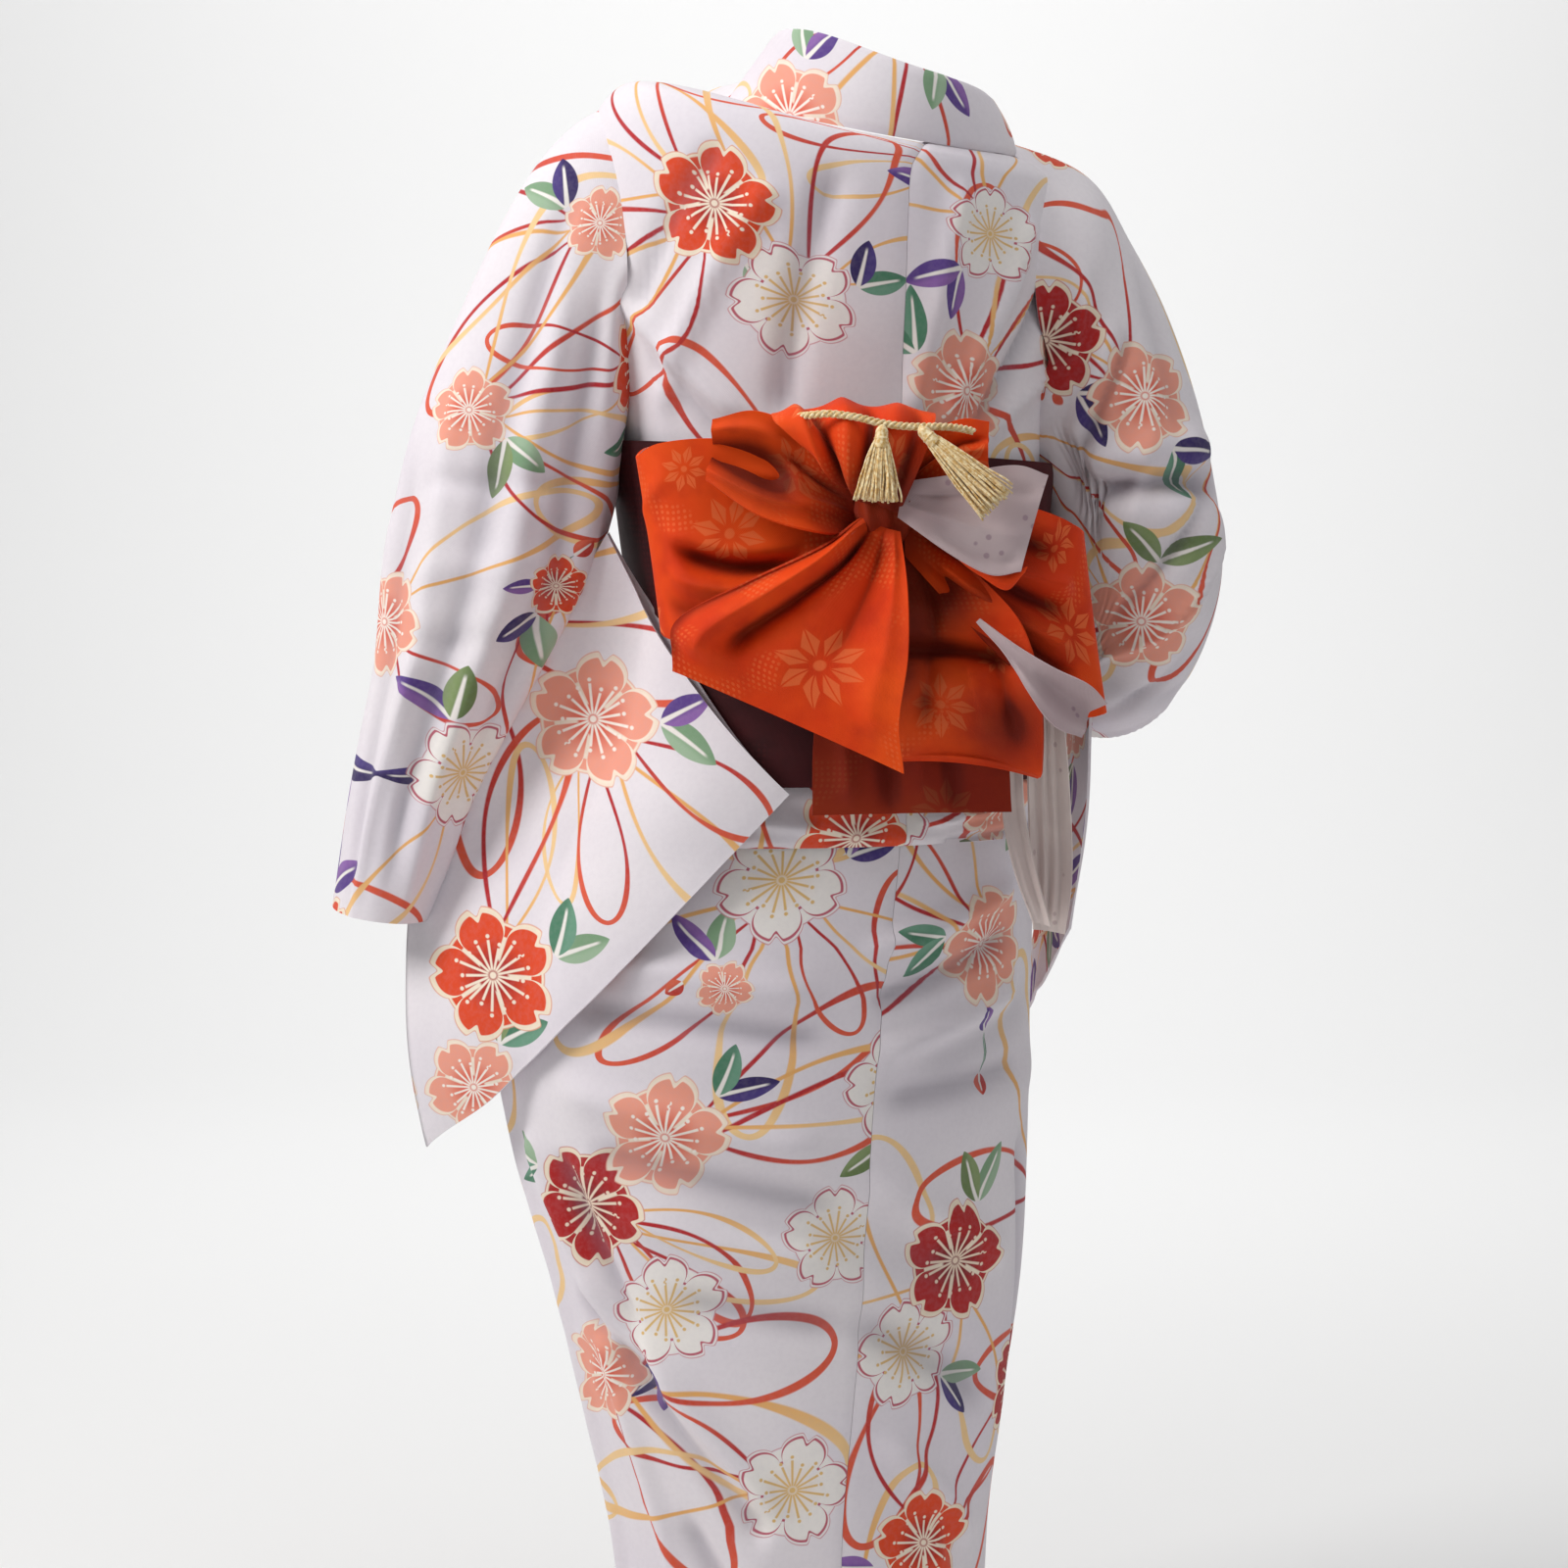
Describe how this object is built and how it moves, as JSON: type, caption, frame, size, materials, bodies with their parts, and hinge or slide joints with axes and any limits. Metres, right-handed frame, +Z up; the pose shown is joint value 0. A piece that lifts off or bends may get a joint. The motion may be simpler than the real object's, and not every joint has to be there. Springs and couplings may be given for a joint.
{
  "type": "kimono robe",
  "caption": "Worn kimono with crossed fronts, waist fold, hanging sleeves, a wound obi and a flower bow behind, hollow inside.",
  "frame": {"origin": "middle of the neck seam, where the shoulders hold the garment up", "axes": "+Z up the garment, +Y behind the wearer, +X to the wearer's left"},
  "size_m": [0.6867, 0.4229, 1.2845],
  "materials": {
    "printed_cotton": "printed cotton plain weave, matt",
    "obi_orange": "figured weave with a soft sheen",
    "obi_dark": "figured weave with a soft sheen",
    "pale_reverse": "plain weave reverse, matt",
    "cord_yellow": "twisted silk-like yarn"
  },
  "bodies": {
    "root": {"bodice_left": "printed_cotton", "bodice_right": "printed_cotton", "skirt_back_left": "printed_cotton", "skirt_back_right": "printed_cotton", "skirt_front_left": "printed_cotton", "skirt_front_right": "printed_cotton", "overlap_left": "printed_cotton", "overlap_right": "printed_cotton", "collar": "printed_cotton", "sleeve_left": "printed_cotton", "sleeve_right": "printed_cotton", "bow_knot": "obi_orange", "bow_loop_left": "obi_orange", "bow_loop_right": "obi_orange", "bow_tail_panel": "obi_orange", "bow_lobe_lower": "obi_orange", "bow_pleat_left": "obi_orange", "bow_pleat_right": "obi_orange", "bow_pleat_middle": "obi_orange", "bow_flap_front": "obi_orange", "obi_turn_lower": "obi_dark", "obi_turn_upper": "obi_dark", "bow_corner_flap": "pale_reverse", "tie_end_long": "pale_reverse", "tie_end_short": "pale_reverse", "bow_cord": "cord_yellow", "tassel_left": "cord_yellow", "tassel_right": "cord_yellow"}
  },
  "joints": []
}
